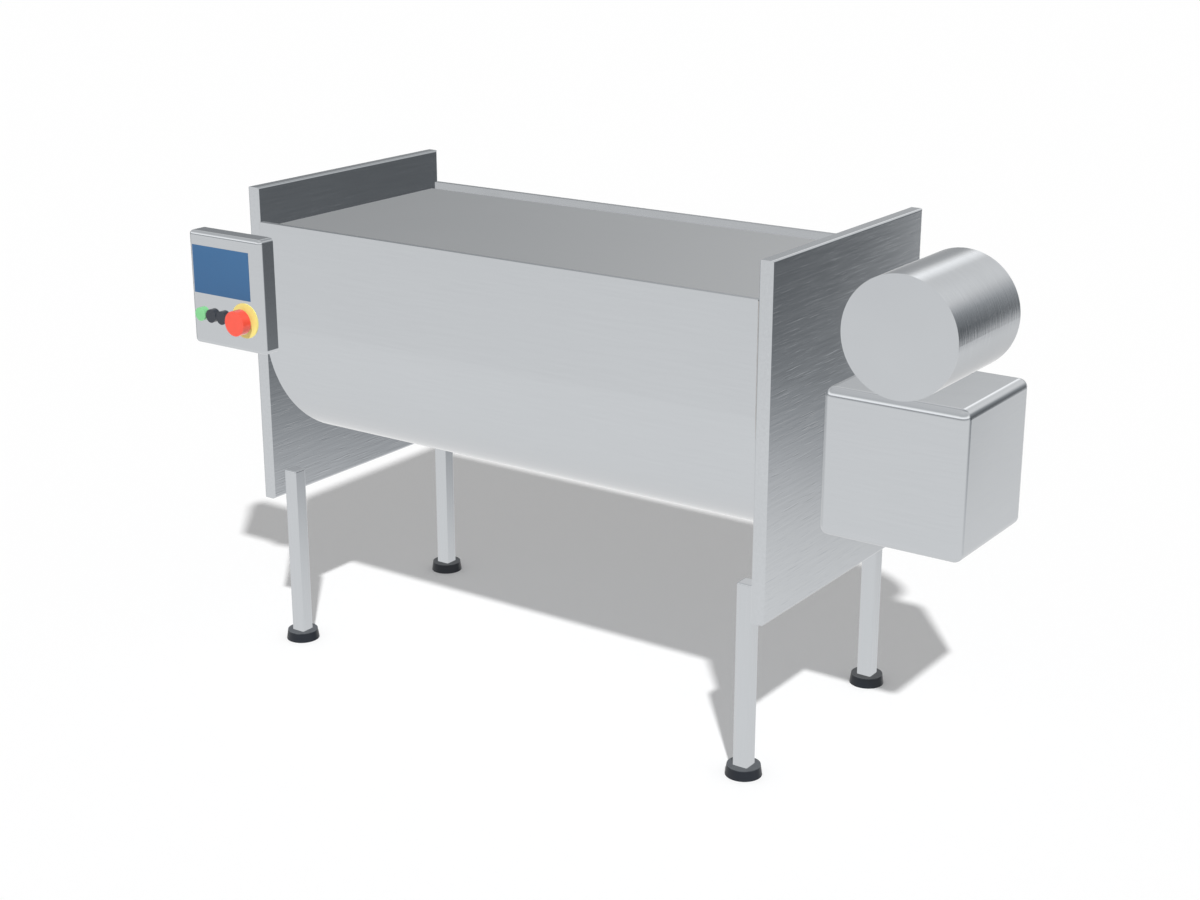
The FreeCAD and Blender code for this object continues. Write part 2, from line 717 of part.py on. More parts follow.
def paddle_shape():
    """One paddle standing up from the shaft line, whose width runs across local X."""
    half, corner = s.blade_width / 2, s.blade_corner
    top = sweep_radius + s.blade_corner
    low = sweep_radius - s.blade_height
    outline = Piece("blade_outline")
    outline.add("XZ", [[(-half + corner, low), (half - corner, low, half - corner, low + corner, 1),
                        (half, low + corner), (half, top), (-half, top),
                        (-half, low + corner, -half + corner, low + corner, 1)]],
                -s.blade_width, s.blade_width * 2)
    inner = s.blade_curve - s.blade_thick / 2
    outer = primitive("Cylinder", "blade_outer_curve", (0, s.blade_curve, 0),
                      Radius=inner + s.blade_thick, Height=top * 2)
    hollow = primitive("Cylinder", "blade_inner_curve", (0, s.blade_curve, 0),
                       Radius=inner, Height=top * 2)
    bowl = primitive("Cut", "blade_curve", Base=outer, Tool=hollow)
    near = primitive("Box", "near_half", (-s.blade_width, -s.blade_width, 0),
                     Length=s.blade_width * 2, Width=s.blade_width + s.blade_curve / 2,
                     Height=top * 2)
    dish = primitive("Common", "blade_dish", Base=bowl, Tool=near)
    blade = primitive("Common", "blade", Base=dish, Tool=outline.body)
    arm = primitive("Cylinder", "arm", Radius=s.arm_radius,
                    Height=sweep_radius - s.arm_short)
    joined = primitive("Fuse", "blade_on_arm", Base=blade, Tool=arm)
    across = FreeCAD.Rotation(VECTOR(0, 1, 0), 90)
    pitch = FreeCAD.Rotation(VECTOR(0, 0, 1), -float(SIZES["paddle_pitch"]))
    sweep = primitive("Cylinder", "sweep_limit", Radius=sweep_radius, Height=s.tub_length)
    tube = primitive("Cylinder", "shaft_surface", Radius=s.shaft_tube_radius,
                     Height=s.tub_length)
    for thing in (sweep, tube):
        thing.Placement = FreeCAD.Placement(VECTOR(0, 0, 0), pitch * across)
        lengthwise = pitch.multVec(VECTOR(-1, 0, 0))
        bind(thing, "Placement.Base.x", half_length * lengthwise.x)
        bind(thing, "Placement.Base.y", half_length * lengthwise.y)
    trimmed = primitive("Common", "paddle_in_sweep", Base=joined, Tool=sweep)
    return primitive("Cut", "paddle_shape", Base=trimmed, Tool=tube)


def paddles():
    shape = paddle_shape()
    count = int(SIZES["paddle_count"])
    span = s.tub_length - s.paddle_end_margin * 2
    pitch = FreeCAD.Rotation(VECTOR(0, 0, 1), float(SIZES["paddle_pitch"]))
    for place in range(count):
        thing = primitive("Compound", f"paddle_{place + 1}", Links=[shape])
        set_in(thing, -half_length + s.paddle_end_margin + span * (place / (count - 1)),
               0, shaft_height)
        around = FreeCAD.Rotation(VECTOR(1, 0, 0), 180 + place * float(SIZES["paddle_step"]))
        thing.Placement = FreeCAD.Placement(thing.Placement.Base, around * pitch)


paddles()


# The drive box on the right end: sheet cover, motor shelf, gear reducer

slot_low = s.pulley_end - s.pulley_width - s.slot_end_gap
slot_high = s.pulley_end + s.slot_end_gap
belt_slot = box_loop(motor_x - s.slot_side, motor_x + s.slot_side, slot_low, slot_high)
shelf_top = box_top - s.box_sheet
motor_height = box_top + s.jacket_radius
window_inset = s.box_round + s.box_flange


def drive_cover():
    """A box of sheet, round at every edge. The side against the end wall is a window whose
    flange is welded to the wall."""
    cover = sheet_box("drive_cover", (plate_face, s.box_front, box_bottom),
                      (box_end, s.box_back, box_top), s.box_round, s.box_sheet)
    window = box_loop(s.box_front + window_inset, s.box_back - window_inset,
                      box_bottom + window_inset, box_top - window_inset)
    cover.cut("YZ", [window], plate_face, s.box_sheet)
    cover.cut("XY", [belt_slot], shelf_top, s.box_sheet)
    cover.set_in()


def motor_shelf():
    """A shelf under the cover's top that takes the motor's weight, on two gussets that
    reach the end wall through the window."""
    shelf = Piece("motor_shelf")
    start, end = plate_face + s.box_round, box_end - s.box_round
    low = shelf_top - s.shelf_thick
    section = [(s.box_front + s.shelf_margin, low), (s.box_back - s.shelf_margin, low),
               (s.box_back - s.box_round, shelf_top), (s.box_front + s.box_round, shelf_top)]
    shelf.add("YZ", [section], start, end - start)
    shelf.cut("XY", [belt_slot], low, s.shelf_thick)
    wall_top = box_top - window_inset - s.part_gap
    gusset = [(plate_face, wall_top), (plate_face, low - s.gusset_drop),
              (start, low - s.gusset_drop), (end, low - s.box_round), (end, low), (start, low),
              (plate_face + s.box_sheet + s.part_gap, wall_top)]
    front = s.box_front + window_inset + s.part_gap
    for low_y in (front, slot_low - s.gusset_gap - s.gusset_thick):
        shelf.add("XZ", [gusset], low_y, s.gusset_thick)
    shelf.set_in()


def gearbox():
    """Shaft-mounted right-angle reducer: hub on the paddle shaft, belt input low at the back."""
    gear = Piece("gearbox")
    hole = s.journal_radius + s.running_gap
    flange_end = plate_face + s.gear_flange_thick
    flange = s.box_over_shaft - window_inset - s.part_gap
    bore_end = gear_hub_end - s.hub_cap
    gear.turn("XY", [[(plate_face, hole), (plate_face, flange),
                      (flange_end, flange), (flange_end, s.gear_hub),
                      (gear_hub_end, s.gear_hub), (gear_hub_end, 0), (bore_end, 0),
                      (bore_end, hole)]], "X")
    r, half = s.gear_case_round, s.gear_case_width / 2
    gear.add("XZ", [round_box_loop(motor_x - half, motor_x + half,
                                   -s.input_drop - s.gear_case_foot,
                                   -s.journal_radius - s.gear_case_wall, r)],
             s.gear_case_front, s.gear_case_back - s.gear_case_front)
    gear.cut("XZ", [(motor_x, input_height - shaft_height,
                     s.input_shaft + s.running_gap)],
             s.gear_case_back - s.input_bore_depth, s.input_bore_depth)
    gear.set_in(z=shaft_height)


drive_cover()
motor_shelf()
gearbox()


# The motor: saddle, round jacket with end discs, frame, and the belt drive

def motor_saddle():
    """Two bars under the jacket, curved to it, one on each side of the line it rests on."""
    far, near = s.saddle_width / 2, s.saddle_space / 2

    def under_jacket(x):
        return motor_height - root(s.jacket_radius * s.jacket_radius - x * x)

    bars = []
    for name, side in (("left", -1), ("right", 1)):
        bar = Piece("saddle_" + name)
        low, high = (-far, -near) if side < 0 else (near, far)
        section = [(motor_x + low, box_top), (motor_x + high, box_top),
                   (motor_x + high, under_jacket(high), motor_x, motor_height, -1),
                   (motor_x + low, under_jacket(low))]
        bar.add("XZ", [section], s.saddle_front, slot_low - s.saddle_front)
        bars.append(bar.body)
    group("motor_saddle", bars)


def motor_jacket():
    jacket = Piece("motor_jacket")
    inner = s.jacket_radius - s.jacket_wall
    start = s.jacket_front + s.end_disc
    jacket.add("XZ", [(0, 0, s.jacket_radius), (0, 0, inner)], start,
               s.jacket_back - s.end_disc - start)
    jacket.cut("XY", [box_loop(-s.slot_side, s.slot_side, slot_low, slot_high)],
               -s.jacket_radius, s.jacket_radius)
    jacket.set_in(motor_x, 0, motor_height)


def motor_end_discs():
    discs = []
    for name, start in (("front", s.jacket_front), ("rear", s.jacket_back - s.end_disc)):
        discs.append(primitive("Cylinder", "disc_" + name,
                               (motor_x, start + s.end_disc, motor_height), (1, 0, 0), 90,
                               Radius=s.jacket_radius, Height=s.end_disc))
    group("motor_end_discs", discs)


def motor_body():
    """The motor's frame, closed round its windings, on a foot curved to the jacket."""
    motor = Piece("motor_body")
    length = s.motor_back - s.motor_front
    motor.add("XZ", [(0, 0, s.motor_radius)], s.motor_front, length)
    inner = s.jacket_radius - s.jacket_wall
    half = s.motor_foot_width / 2
    drop = root(inner * inner - half * half)
    top = root(s.motor_radius * s.motor_radius - half * half)
    motor.add("XZ", [[(-half, -drop, 0, 0, 1), (half, -drop), (half, -top), (-half, -top)]],
              s.motor_front, length)
    motor.cut("XZ", [(0, 0, s.input_shaft + s.running_gap)],
              s.motor_back - s.motor_bore_depth, s.motor_bore_depth)
    motor.set_in(motor_x, 0, motor_height)


def pulley_on_shaft(label, groove, shaft_start, height):
    """A shaft along Y with its flanged pulley at the rear end."""
    piece = Piece(label)
    start = s.pulley_end - s.pulley_width
    lip, rim = s.pulley_lip, groove + s.belt_thick + s.pulley_lip
    piece.turn("YZ", [[(shaft_start, 0), (s.pulley_end, 0), (s.pulley_end, rim),
                       (s.pulley_end - lip, rim), (s.pulley_end - lip, groove),
                       (start + lip, groove), (start + lip, rim), (start, rim),
                       (start, s.input_shaft), (shaft_start, s.input_shaft)]], "Y")
    piece.set_in(motor_x, 0, height)


def drive_belt():
    """A flat belt on the outer tangents of the two pulleys."""
    belt = Piece("drive_belt")
    rise = motor_height - input_height
    loops = []
    for extra in (s.belt_gap + s.belt_thick, s.belt_gap):
        low, high = s.input_pulley + extra, s.motor_pulley + extra
        sine = (low - high) / rise
        cosine = root(1 - sine * sine)
        loops.append([(-low * cosine, low * sine, 0, 0, 1), (low * cosine, low * sine),
                      (high * cosine, rise + high * sine, 0, rise, 1),
                      (-high * cosine, rise + high * sine)])
    side = (s.pulley_width - s.belt_width) / 2
    belt.add("XZ", loops, s.pulley_end - s.pulley_width + side, s.belt_width)
    belt.set_in(motor_x, 0, input_height)


motor_saddle()
motor_jacket()
motor_end_discs()
motor_body()
pulley_on_shaft("motor_rotor", s.motor_pulley, s.motor_back - s.motor_bore_depth
                + s.shaft_end_gap, motor_height)
pulley_on_shaft("input_pulley", s.input_pulley, s.gear_case_back - s.input_bore_depth
                + s.shaft_end_gap, input_height)
drive_belt()


# The control box on the left end plate's front edge

contact_front = panel_back - s.panel_sheet - s.contact_depth
screen_left = panel_left + s.screen_inset
screen_right = screen_left + s.screen_width
screen_bottom = panel_bottom + s.screen_rise
screen_top = screen_bottom + s.screen_height
screen_hole = box_loop(screen_left + s.screen_lip, screen_right - s.screen_lip,
                       screen_bottom + s.screen_lip, screen_top - s.screen_lip)


def control_housing():
    back = panel_back - s.panel_sheet
    housing = sheet_box("control_housing", (panel_left, panel_front, panel_bottom),
                        (panel_right, back, panel_top), s.panel_round, s.panel_sheet,
                        open_back=True)
    housing.cut("XZ", [screen_hole], panel_front, s.panel_sheet)
    holes = [(x, button_row, s.stem_radius + s.loose_gap)
             for x in (green_x, black_one_x, black_two_x)]
    holes.append((stop_x, stop_height, s.stop_neck + s.loose_gap))
    housing.cut("XZ", holes, panel_front, s.panel_sheet)
    housing.set_in()


def control_back():
    back = Piece("control_back")
    back.add("XZ", [round_box_loop(panel_left, panel_right, panel_bottom, panel_top,
                                   s.panel_round)], panel_back - s.panel_sheet, s.panel_sheet)
    back.set_in()
    bracket = Piece("panel_bracket")
    left, low = panel_left + s.bracket_inset, panel_bottom + s.bracket_rise
    bracket.add("XZ", [round_box_loop(left, left + s.bracket_width, low,
                                      low + s.bracket_height, s.panel_round)],
                panel_back, s.bracket_thick)
    bracket.set_in()


def display():
    """The screen: a glass face on the box's front and its body through the cut-out."""
    screen = Piece("display")
    screen.add("XZ", [box_loop(screen_left, screen_right, screen_bottom, screen_top)],
               panel_front - s.screen_proud, s.screen_proud)
    screen.add("XZ", [screen_hole], panel_front, s.screen_body)
    screen.set_in()


def button(label, x):
    piece = Piece(label)
    front = panel_front - s.button_proud
    piece.add("XZ", [(0, 0, s.button_radius)], front,
              s.button_proud - s.button_travel - s.part_gap)
    stem_start = front + s.button_flange
    piece.add("XZ", [(0, 0, s.stem_radius)], stem_start,
              contact_front - s.button_travel - s.part_gap - stem_start)
    piece.set_in(x, 0, button_row)


def emergency_stop():
    collar = Piece("estop_collar")
    collar.add("XZ", [(0, 0, s.collar_radius), (0, 0, s.stop_neck + s.loose_gap)],
               panel_front - s.collar_thick, s.collar_thick)
    collar.set_in(stop_x, 0, stop_height)
    stem = Piece("estop_stem")
    head_back = stop_front + s.stop_head_length
    neck_start = head_back + s.part_gap
    stem.add("XZ", [(0, 0, s.stop_neck)], neck_start,
             contact_front - s.stop_travel - s.part_gap - neck_start)
    stem.add("XZ", [(0, 0, s.stem_radius)], head_back - s.stem_length, s.stem_length * 2)
    stem.set_in(stop_x, 0, stop_height)
    head = Piece("estop_head")
    head.add("XZ", [(0, 0, s.stop_radius)], stop_front, s.stop_head_length)
    bore = s.stem_length + s.part_gap
    head.cut("XZ", [(0, 0, s.stem_radius + s.running_gap)], head_back - bore, bore)
    head.set_in(stop_x, 0, stop_height)


def contact_blocks():
    blocks = []
    half = s.contact_size / 2
    places = [("green", green_x, button_row), ("black_one", black_one_x, button_row),
              ("black_two", black_two_x, button_row), ("stop", stop_x, stop_height)]
    for name, x, z in places:
        blocks.append(primitive("Box", "contact_" + name, (x - half, contact_front, z - half),
                                Length=s.contact_size, Width=s.contact_depth,
                                Height=s.contact_size))
    group("contact_blocks", blocks)


def cable_glands():
    """A gland in the control box's back and one under the drive box, with no cable."""
    glands = []
    r, wide, long = s.gland_radius, s.gland_flange, s.gland_length
    places = [("panel", (1, 0, 0), 90, panel_left + s.panel_gland_side,
               panel_back, panel_bottom + s.panel_gland_rise),
              ("drive", (0, 0, 1), 0, plate_face + s.box_gland_inset,
               s.box_back - s.box_gland_inset, box_bottom)]
    for name, axis, angle, x, y, z in places:
        gland = Piece("gland_" + name)
        gland.turn("XZ", [[(0, 0), (wide, 0), (wide, -long / 2), (r, -long / 2),
                           (r - s.gland_taper, -long), (0, -long)]], "Z")
        gland.body.Placement = FreeCAD.Placement(VECTOR(0, 0, 0),
                                                 FreeCAD.Rotation(VECTOR(*axis), angle))
        for key, value in zip("xyz", (x, y, z)):
            bind(gland.body, f"Placement.Base.{key}", value)
        gland.body.touch()
        glands.append(gland.body)
    group("cable_glands", glands)


control_housing()
control_back()
display()
button("green_button", green_x)
button("black_button_left", black_one_x)
button("black_button_right", black_two_x)
emergency_stop()
contact_blocks()
cable_glands()


# The discharge port with its door, and the vacuum port, on the left end

spout_end = -plate_face - s.spout_length
gasket_end = spout_end - s.door_gasket
door_back = gasket_end - s.seat_gap
door_front = door_back - s.door_thick
hinge_x = door_back - s.door_thick / 2


def discharge_spout():
    spout = Piece("discharge_spout")
    spout.add("YZ", [(0, 0, spout_outer), (0, 0, s.port_radius)], spout_end,
              -half_length - spout_end)
    spout.add("YZ", [(0, 0, s.spout_flange), (0, 0, s.port_radius)], spout_end,
              s.spout_flange_thick)
    spout.set_in(z=port_height)
    gasket = Piece("door_gasket")
    inner = s.port_radius + s.door_gasket_inset
    gasket.add("YZ", [(0, 0, inner + s.gasket_width), (0, 0, inner)], gasket_end, s.door_gasket)
    gasket.set_in(z=port_height)


def discharge_door():
    """A round plate with a hinge ear at the back and a bent pull handle at the front."""
    door = Piece("discharge_door")
    door.add("YZ", [(0, 0, s.spout_flange)], door_front, s.door_thick)
    half, thick = s.ear_height / 2, s.door_thick / 2
    door.add("XY", [box_loop(hinge_x - thick, hinge_x + thick, 0, door_hinge_y)],
             -half, s.ear_height)
    door.add("XY", [(hinge_x, door_hinge_y, s.ear_radius)], -half, s.ear_height)
    door.cut("XY", [(hinge_x, door_hinge_y, s.door_pin + s.running_gap)],
             -half, s.ear_height)
    wire, wide = s.door_handle_wire, s.handle_width / 2
    out = door_front - s.handle_reach + wire
    turned = [(door_front, -wide), (out + s.handle_round, -wide, out + s.handle_round,
                                    -wide + s.handle_round, -1),
              (out, -wide + s.handle_round), (out, wide - s.handle_round, out + s.handle_round,
                                              wide - s.handle_round, -1),
              (out + s.handle_round, wide), (door_front, wide)]
    door.bend("XZ", turned, -s.handle_offset, (-s.handle_offset, -wide, wire), door_front)
    door.set_in(z=port_height)


def door_hinge():
    """The fixed hinge: a pin between two lugs on a foot welded to the end wall."""
    hinge = Piece("door_hinge")
    gap_top = s.ear_height / 2 + s.part_gap
    low, tall = -gap_top - s.door_thick, (gap_top + s.door_thick) * 2
    near, far = door_hinge_y - s.ear_radius, door_hinge_y + s.ear_radius
    lug = [(-plate_face, far), (hinge_x, far, hinge_x, door_hinge_y, 1), (hinge_x, near),
           (-plate_face, near)]
    hinge.add("XY", [box_loop(-plate_face - s.hinge_foot_thick, -plate_face, near, far)],
              low, tall)
    for start in (low, gap_top):
        hinge.add("XY", [lug], start, s.door_thick)
    hinge.add("XY", [(hinge_x, door_hinge_y, s.door_pin)], low, tall)
    hinge.set_in(z=port_height)


def vacuum_ferrule():
    port = Piece("vacuum_ferrule")
    end = -plate_face - s.vacuum_reach
    port.add("YZ", [(0, 0, vacuum_outer), (0, 0, s.vacuum_bore)], end, -half_length - end)
    port.add("YZ", [(0, 0, s.ferrule_radius), (0, 0, s.vacuum_bore)], end, s.ferrule_thick)
    port.set_in(y=s.vacuum_y, z=vacuum_height)


discharge_spout()
discharge_door()
door_hinge()
vacuum_ferrule()


# Rebuild, refuse anything broken, write one file for each sub-part

doc.recompute()
broken = [o.Name for o in doc.Objects if {"Invalid", "Error"} & set(o.State)]
if broken:
    raise RuntimeError(f"these objects failed: {broken}")
os.makedirs("parts", exist_ok=True)
for part in subparts:
    shape = part.Shape
    if shape.isNull() or not shape.isValid() or not shape.Solids:
        raise RuntimeError(f"{part.Label} is empty or not valid")
for part in subparts:
    part.Shape.exportStep(f"parts/{part.Label}.step")
print(len(subparts), "sub-parts written")
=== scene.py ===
import json
import math

import bmesh
import bpy
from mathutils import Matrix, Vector

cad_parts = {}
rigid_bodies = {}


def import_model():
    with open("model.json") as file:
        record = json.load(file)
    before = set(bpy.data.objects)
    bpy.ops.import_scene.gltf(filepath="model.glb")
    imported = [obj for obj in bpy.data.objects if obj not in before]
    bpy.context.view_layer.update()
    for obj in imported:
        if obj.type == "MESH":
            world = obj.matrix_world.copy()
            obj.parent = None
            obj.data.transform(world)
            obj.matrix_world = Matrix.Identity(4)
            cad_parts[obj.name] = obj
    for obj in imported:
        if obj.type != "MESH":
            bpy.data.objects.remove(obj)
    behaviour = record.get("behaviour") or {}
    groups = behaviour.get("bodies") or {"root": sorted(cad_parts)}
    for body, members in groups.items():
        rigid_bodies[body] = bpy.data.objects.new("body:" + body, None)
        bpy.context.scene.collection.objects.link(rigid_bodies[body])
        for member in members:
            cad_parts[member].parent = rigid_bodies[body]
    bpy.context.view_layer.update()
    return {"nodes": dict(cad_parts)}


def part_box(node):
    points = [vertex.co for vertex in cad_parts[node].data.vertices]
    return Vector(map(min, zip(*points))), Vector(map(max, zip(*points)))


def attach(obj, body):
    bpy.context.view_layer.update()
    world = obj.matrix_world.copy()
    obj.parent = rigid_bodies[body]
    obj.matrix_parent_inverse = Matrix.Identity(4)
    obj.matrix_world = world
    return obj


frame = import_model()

# A paddle vacuum tumbler in ground stainless steel: a U-shaped tub between two tall end
# walls, a lid inside its rim, a drive on the right end and a control box on the left.
# Metres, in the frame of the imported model: X along the tub, Y to the back, Z up.


# Shader maths

class Wire:
    """One output of a node. Python's operators on it add Math nodes."""

    def __init__(self, finish, socket):
        self.finish = finish
        self.socket = socket

    def _math(self, operation, first, second=0.0):
        return self.finish.node("ShaderNodeMath", {"operation": operation},
                                {0: first, 1: second})

    def __add__(self, other):
        return self._math("ADD", self, other)

    def __radd__(self, other):
        return self._math("ADD", other, self)

    def __sub__(self, other):
        return self._math("SUBTRACT", self, other)

    def __rsub__(self, other):
        return self._math("SUBTRACT", other, self)

    def __mul__(self, other):
        return self._math("MULTIPLY", self, other)

    def __rmul__(self, other):
        return self._math("MULTIPLY", other, self)

    def at_least(self, other):
        return self._math("MAXIMUM", self, other)

    def angle_over(self, other):
        return self._math("ARCTAN2", self, other)

    def ramp(self, low, high):
        """0 below one value, 1 above the other, straight between them."""
        return self.finish.node("ShaderNodeMapRange", {"clamp": True},
                                {"From Min": low, "From Max": high, "Value": self})


class Finish:
    """A material or world and its node tree, with one method that makes any node."""

    def __init__(self, name, owner=None):
        self.owner = owner or bpy.data.materials.new(name)
        self.owner.use_nodes = True
        self.tree = self.owner.node_tree
        self.shader = self.tree.nodes.get("Principled BSDF")

    def node(self, kind, settings=None, values=None, output=0):
        made = self.tree.nodes.new(kind)
        for name, value in (settings or {}).items():
            if name == "stops":
                ramp = made.color_ramp
                while len(ramp.elements) < len(value):
                    ramp.elements.new(1)
                for stop, (place, level) in zip(ramp.elements, value):
                    stop.position = place
                    stop.color = (level, level, level, 1)
            else:
                setattr(made, name, value)
        for name, value in (values or {}).items():
            self.feed(made.inputs[name], value)
        return Wire(self, made.outputs[output])

    def feed(self, socket, value):
        if isinstance(value, Wire):
            self.tree.links.new(value.socket, socket)
        elif isinstance(value, tuple) and len(value) == 3 and socket.type == "RGBA":
            socket.default_value = (*value, 1)
        else:
            socket.default_value = value

    def set(self, **values):
        for name, value in values.items():
            self.feed(self.shader.inputs[name.replace("_", " ")], value)
        return self.owner

    def place(self):
        """The point on the object, in metres."""
        return self.node("ShaderNodeTexCoord", output=3)

    def parts_of(self, where):
        """The X, Y and Z of a point."""
        return [self.node("ShaderNodeSeparateXYZ", None, {"Vector": where}, output=axis)
                for axis in range(3)]

    def stretched(self, scale):
        return self.node("ShaderNodeMapping", None, {"Vector": self.place(), "Scale": scale})

    def noise(self, where, scale, detail=2.0, roughness=0.5):
        return self.node("ShaderNodeTexNoise", None,
                         {"Vector": where, "Scale": scale, "Detail": detail,
                          "Roughness": roughness})

    def mixed(self, share, first, second):
        """A colour between two colours."""
        return self.node("ShaderNodeMix", {"data_type": "RGBA"},
                         {"Factor": share, 6: first, 7: second}, output=2)

    def bump(self, height, distance):
        return self.node("ShaderNodeBump", None, {"Height": height, "Distance": distance})

    def seen(self):
        """1 where the camera looks, straight or through glass, and 0 for all other light."""
        return self.node("ShaderNodeLightPath", output="Is Camera Ray").at_least(
            self.node("ShaderNodeLightPath", output="Is Transmission Ray"))


def tinted(colour, share):
    return tuple(min(1.0, part * share) for part in colour)


# Finishes

STEEL = (0.535, 0.553, 0.573)
LID_STEEL = (0.545, 0.555, 0.562)
EDGE_TINT = (0.85, 0.85, 0.85)
STROKE_LENGTH, STROKE_WIDTH = 0.13, 0.0055
HAIR_LENGTH, HAIR_WIDTH = 0.05, 0.0012
STROKE_ROUGHNESS = 0.55      # of the noise that the strokes are drawn with
CLOUD_SCALE = 2.3            # broad unevenness of a whole sheet


def ground_steel(name, along, tint=STEEL, roughness=0.13, stroke_depth=0.00002,
                 contrast=0.015):
    """Ground stainless steel. along names the directions that its strokes run in: X, Y or Z."""
    finish = Finish(name)

    def strokes(length, width):
        scale = tuple(1 / (length if axis in along else width) for axis in "XYZ")
        return finish.noise(finish.stretched(scale), 1.0, roughness=STROKE_ROUGHNESS)

    broad = strokes(STROKE_LENGTH, STROKE_WIDTH)
    hair = strokes(HAIR_LENGTH, HAIR_WIDTH)
    clouds = finish.noise(finish.place(), CLOUD_SCALE)
    grain = broad * 0.7 + hair * 0.3
    shade = (grain + clouds * 0.5).ramp(0.5, 1.0)
    return finish.set(Base_Color=finish.mixed(shade, tinted(tint, 1 - contrast),
                                              tinted(tint, 1 + contrast)),
                      Metallic=1.0,
                      Roughness=(hair - 0.5) * 0.06 + (clouds - 0.5) * 0.04 + roughness,
                      Specular_Tint=EDGE_TINT,
                      Normal=finish.bump(grain, stroke_depth))


def end_wall_steel():
    """Thick ground sheet: a soft even grain along Y, and single longer scratches over it."""
    finish = Finish("end_wall_steel")

    def strokes(length, width, detail=2.0):
        scale = (1 / width, 1 / length, 1 / width)
        return finish.noise(finish.stretched(scale), 1.0, detail, STROKE_ROUGHNESS)

    flat_side = finish.parts_of(finish.node("ShaderNodeNewGeometry", output="Normal"))[0]
    broad = strokes(0.16, 0.008)
    raised = strokes(0.09, 0.004).ramp(0.62, 0.8)
    sunken = strokes(0.075, 0.0036, detail=1.0).ramp(0.64, 0.8)
    scratches = raised - sunken
    clouds = finish.noise(finish.place(), CLOUD_SCALE)
    shade = (broad + clouds + scratches * 0.35).ramp(0.7, 1.3)
    height = (broad * 0.6 + scratches * 0.6) * flat_side * flat_side
    darker, paler = tinted(STEEL, 0.97), tinted(STEEL, 1.03)
    return finish.set(Base_Color=finish.mixed(shade, darker, paler),
                      Metallic=1.0,
                      Roughness=(broad - 0.5) * 0.06 + (clouds - 0.5) * 0.04 + 0.13,
                      Specular_Tint=EDGE_TINT,
                      Normal=finish.bump(height, 0.00009))


def tub_inside_steel():
    """The tub's inner skin: ground along X and rougher towards its floor, with painted shade that
    darkens it with depth and random film patches over that.
    """
    finish = Finish("tub_inside_steel")
    low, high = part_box("tub_shell")
    height = finish.parts_of(finish.place())[2]
    grain = finish.noise(finish.stretched((7, 200, 200)), 1.0, roughness=STROKE_ROUGHNESS)
    film = finish.noise(finish.place(), 7.0, 3.0, 0.6)
    depth = 1 - height.ramp(low.z, high.z)
    # Painted shade: the colour darkens with depth in the tub, mixed with random film patches; the
    # same mask also raises the roughness.
    depth_shade_and_film = (depth * 0.85 + (film - 0.5) * 0.4).ramp(0.0, 1.0)
    at_rim, painted_shade_at_floor = tinted(STEEL, 0.86), tinted(STEEL, 0.42)
    return finish.set(Base_Color=finish.mixed(depth_shade_and_film, at_rim, painted_shade_at_floor),
                      Metallic=1.0,
                      Roughness=depth_shade_and_film * 0.16 + (grain - 0.5) * 0.08 + 0.22,
                      Specular_Tint=EDGE_TINT,
                      Normal=finish.bump(grain, 0.00004))


def round_ground_steel(name, centre_x, centre_z, tint=STEEL, roughness=0.11):
    """Steel ground while it turned about a line along Y: its strokes run round that line."""
    finish = Finish(name)
    x, y, z = finish.parts_of(finish.place())
    turn = (x - centre_x).angle_over(z - centre_z)

    def strokes(turns, width):
        where = finish.node("ShaderNodeCombineXYZ", None,
                            {"X": turn * turns, "Y": y * (1 / width)})
        return finish.noise(where, 1.0, roughness=0.6)

    broad, hair = strokes(1.6, 0.0045), strokes(4.0, 0.0014)
    clouds = finish.noise(finish.place(), 5.0)
    shade = (broad * 0.6 + clouds * 0.4).ramp(0.3, 0.7)
    darker, paler = tinted(tint, 0.95), tinted(tint, 1.05)
    return finish.set(Base_Color=finish.mixed(shade, darker, paler),
                      Metallic=1.0,
                      Roughness=(hair - 0.5) * 0.06 + (broad - 0.5) * 0.04 + roughness,
                      Specular_Tint=tinted(EDGE_TINT, 0.84),
                      Normal=finish.bump(broad * 0.8 + hair * 0.2, 0.00016))


def turned_steel(name, tint=STEEL, roughness=0.22):
    """Machined steel with fine tool marks across X and Y, and slight staining."""
    finish = Finish(name)
    marks = finish.noise(finish.stretched((900, 900, 60)), 1.0, detail=1.0)
    stains = finish.noise(finish.place(), 14.0, 3.0, 0.6)
    return finish.set(Base_Color=finish.mixed(stains.ramp(0.35, 0.7), tinted(tint, 0.9), tint),
                      Metallic=1.0,
                      Roughness=(marks - 0.5) * 0.1 + (stains - 0.5) * 0.12 + roughness,
                      Normal=finish.bump(marks, 0.00002))


def moulded_plastic(name, colour, roughness=0.35, grain=0.00003):
    """Plastic with a fine moulded grain, slightly uneven colour and rubbed patches."""
    finish = Finish(name)
    pits = finish.noise(finish.place(), 1500.0, roughness=0.6)
    clouds = finish.noise(finish.place(), 30.0)
    return finish.set(Base_Color=finish.mixed(clouds.ramp(0.3, 0.7), tinted(colour, 0.9), colour),
                      Roughness=(pits - 0.5) * 0.12 + (clouds - 0.5) * 0.15 + roughness,
                      Normal=finish.bump(pits, grain))


def rubber(name, colour, roughness=0.6):
    """Matt rubber, a little paler where dust lies on it."""
    finish = Finish(name)
    skin = finish.noise(finish.place(), 700.0)
    dust = finish.noise(finish.place(), 18.0, 3.0, 0.6)
    return finish.set(Base_Color=finish.mixed(dust.ramp(0.4, 0.75), colour, tinted(colour, 1.25)),
                      Roughness=(dust - 0.5) * 0.2 + roughness,
                      Normal=finish.bump(skin, 0.00004))


